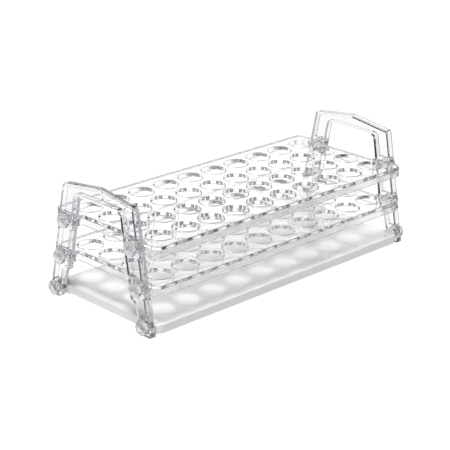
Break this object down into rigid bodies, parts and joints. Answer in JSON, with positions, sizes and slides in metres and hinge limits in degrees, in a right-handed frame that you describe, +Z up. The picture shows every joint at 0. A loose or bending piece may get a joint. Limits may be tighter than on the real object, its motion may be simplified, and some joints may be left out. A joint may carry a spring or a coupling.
{
  "type": "test tube holder",
  "caption": "Three-tier see-through test tube rack: splayed end frames with handles, two perforated plates and a plain white base tray, joined by push-in pins.",
  "frame": {"origin": "floor level under the middle of the rack", "axes": "+X along the length towards the right end frame, +Y towards the rear long side, +Z up"},
  "size_m": [0.246, 0.098, 0.084],
  "materials": {
    "clear_plastic": "clear, smooth moulded",
    "white_plastic": "smooth moulded"
  },
  "bodies": {
    "tiers": {"upper_tube_plate": "clear_plastic", "middle_tube_plate": "clear_plastic", "base_tray": "white_plastic"},
    "left_frame": {"left_end_frame": "clear_plastic"},
    "right_frame": {"right_end_frame": "clear_plastic"},
    "upper_pin_left_front_body": {"upper_pin_left_front": "clear_plastic"},
    "upper_pin_left_rear_body": {"upper_pin_left_rear": "clear_plastic"},
    "upper_pin_right_front_body": {"upper_pin_right_front": "clear_plastic"},
    "upper_pin_right_rear_body": {"upper_pin_right_rear": "clear_plastic"},
    "middle_pin_left_front_body": {"middle_pin_left_front": "clear_plastic"},
    "middle_pin_left_rear_body": {"middle_pin_left_rear": "clear_plastic"},
    "middle_pin_right_front_body": {"middle_pin_right_front": "clear_plastic"},
    "middle_pin_right_rear_body": {"middle_pin_right_rear": "clear_plastic"},
    "base_pin_left_front_body": {"base_pin_left_front": "clear_plastic"},
    "base_pin_left_rear_body": {"base_pin_left_rear": "clear_plastic"},
    "base_pin_right_front_body": {"base_pin_right_front": "clear_plastic"},
    "base_pin_right_rear_body": {"base_pin_right_rear": "clear_plastic"}
  },
  "joints": [
    {"name": "left_frame_pull_off", "type": "slide", "parent": "tiers", "child": "left_frame", "axis": [-1, 0, 0], "range_m": [0, 0.01]},
    {"name": "right_frame_pull_off", "type": "slide", "parent": "tiers", "child": "right_frame", "axis": [1, 0, 0], "range_m": [0, 0.01]},
    {"name": "upper_pin_left_front_pull_out", "type": "slide", "parent": "left_frame", "child": "upper_pin_left_front_body", "axis": [-1, 0, 0], "range_m": [0, 0.012]},
    {"name": "upper_pin_left_rear_pull_out", "type": "slide", "parent": "left_frame", "child": "upper_pin_left_rear_body", "axis": [-1, 0, 0], "range_m": [0, 0.012]},
    {"name": "upper_pin_right_front_pull_out", "type": "slide", "parent": "right_frame", "child": "upper_pin_right_front_body", "axis": [1, 0, 0], "range_m": [0, 0.012]},
    {"name": "upper_pin_right_rear_pull_out", "type": "slide", "parent": "right_frame", "child": "upper_pin_right_rear_body", "axis": [1, 0, 0], "range_m": [0, 0.012]},
    {"name": "middle_pin_left_front_pull_out", "type": "slide", "parent": "left_frame", "child": "middle_pin_left_front_body", "axis": [-1, 0, 0], "range_m": [0, 0.012]},
    {"name": "middle_pin_left_rear_pull_out", "type": "slide", "parent": "left_frame", "child": "middle_pin_left_rear_body", "axis": [-1, 0, 0], "range_m": [0, 0.012]},
    {"name": "middle_pin_right_front_pull_out", "type": "slide", "parent": "right_frame", "child": "middle_pin_right_front_body", "axis": [1, 0, 0], "range_m": [0, 0.012]},
    {"name": "middle_pin_right_rear_pull_out", "type": "slide", "parent": "right_frame", "child": "middle_pin_right_rear_body", "axis": [1, 0, 0], "range_m": [0, 0.012]},
    {"name": "base_pin_left_front_pull_out", "type": "slide", "parent": "left_frame", "child": "base_pin_left_front_body", "axis": [-1, 0, 0], "range_m": [0, 0.012]},
    {"name": "base_pin_left_rear_pull_out", "type": "slide", "parent": "left_frame", "child": "base_pin_left_rear_body", "axis": [-1, 0, 0], "range_m": [0, 0.012]},
    {"name": "base_pin_right_front_pull_out", "type": "slide", "parent": "right_frame", "child": "base_pin_right_front_body", "axis": [1, 0, 0], "range_m": [0, 0.012]},
    {"name": "base_pin_right_rear_pull_out", "type": "slide", "parent": "right_frame", "child": "base_pin_right_rear_body", "axis": [1, 0, 0], "range_m": [0, 0.012]}
  ]
}
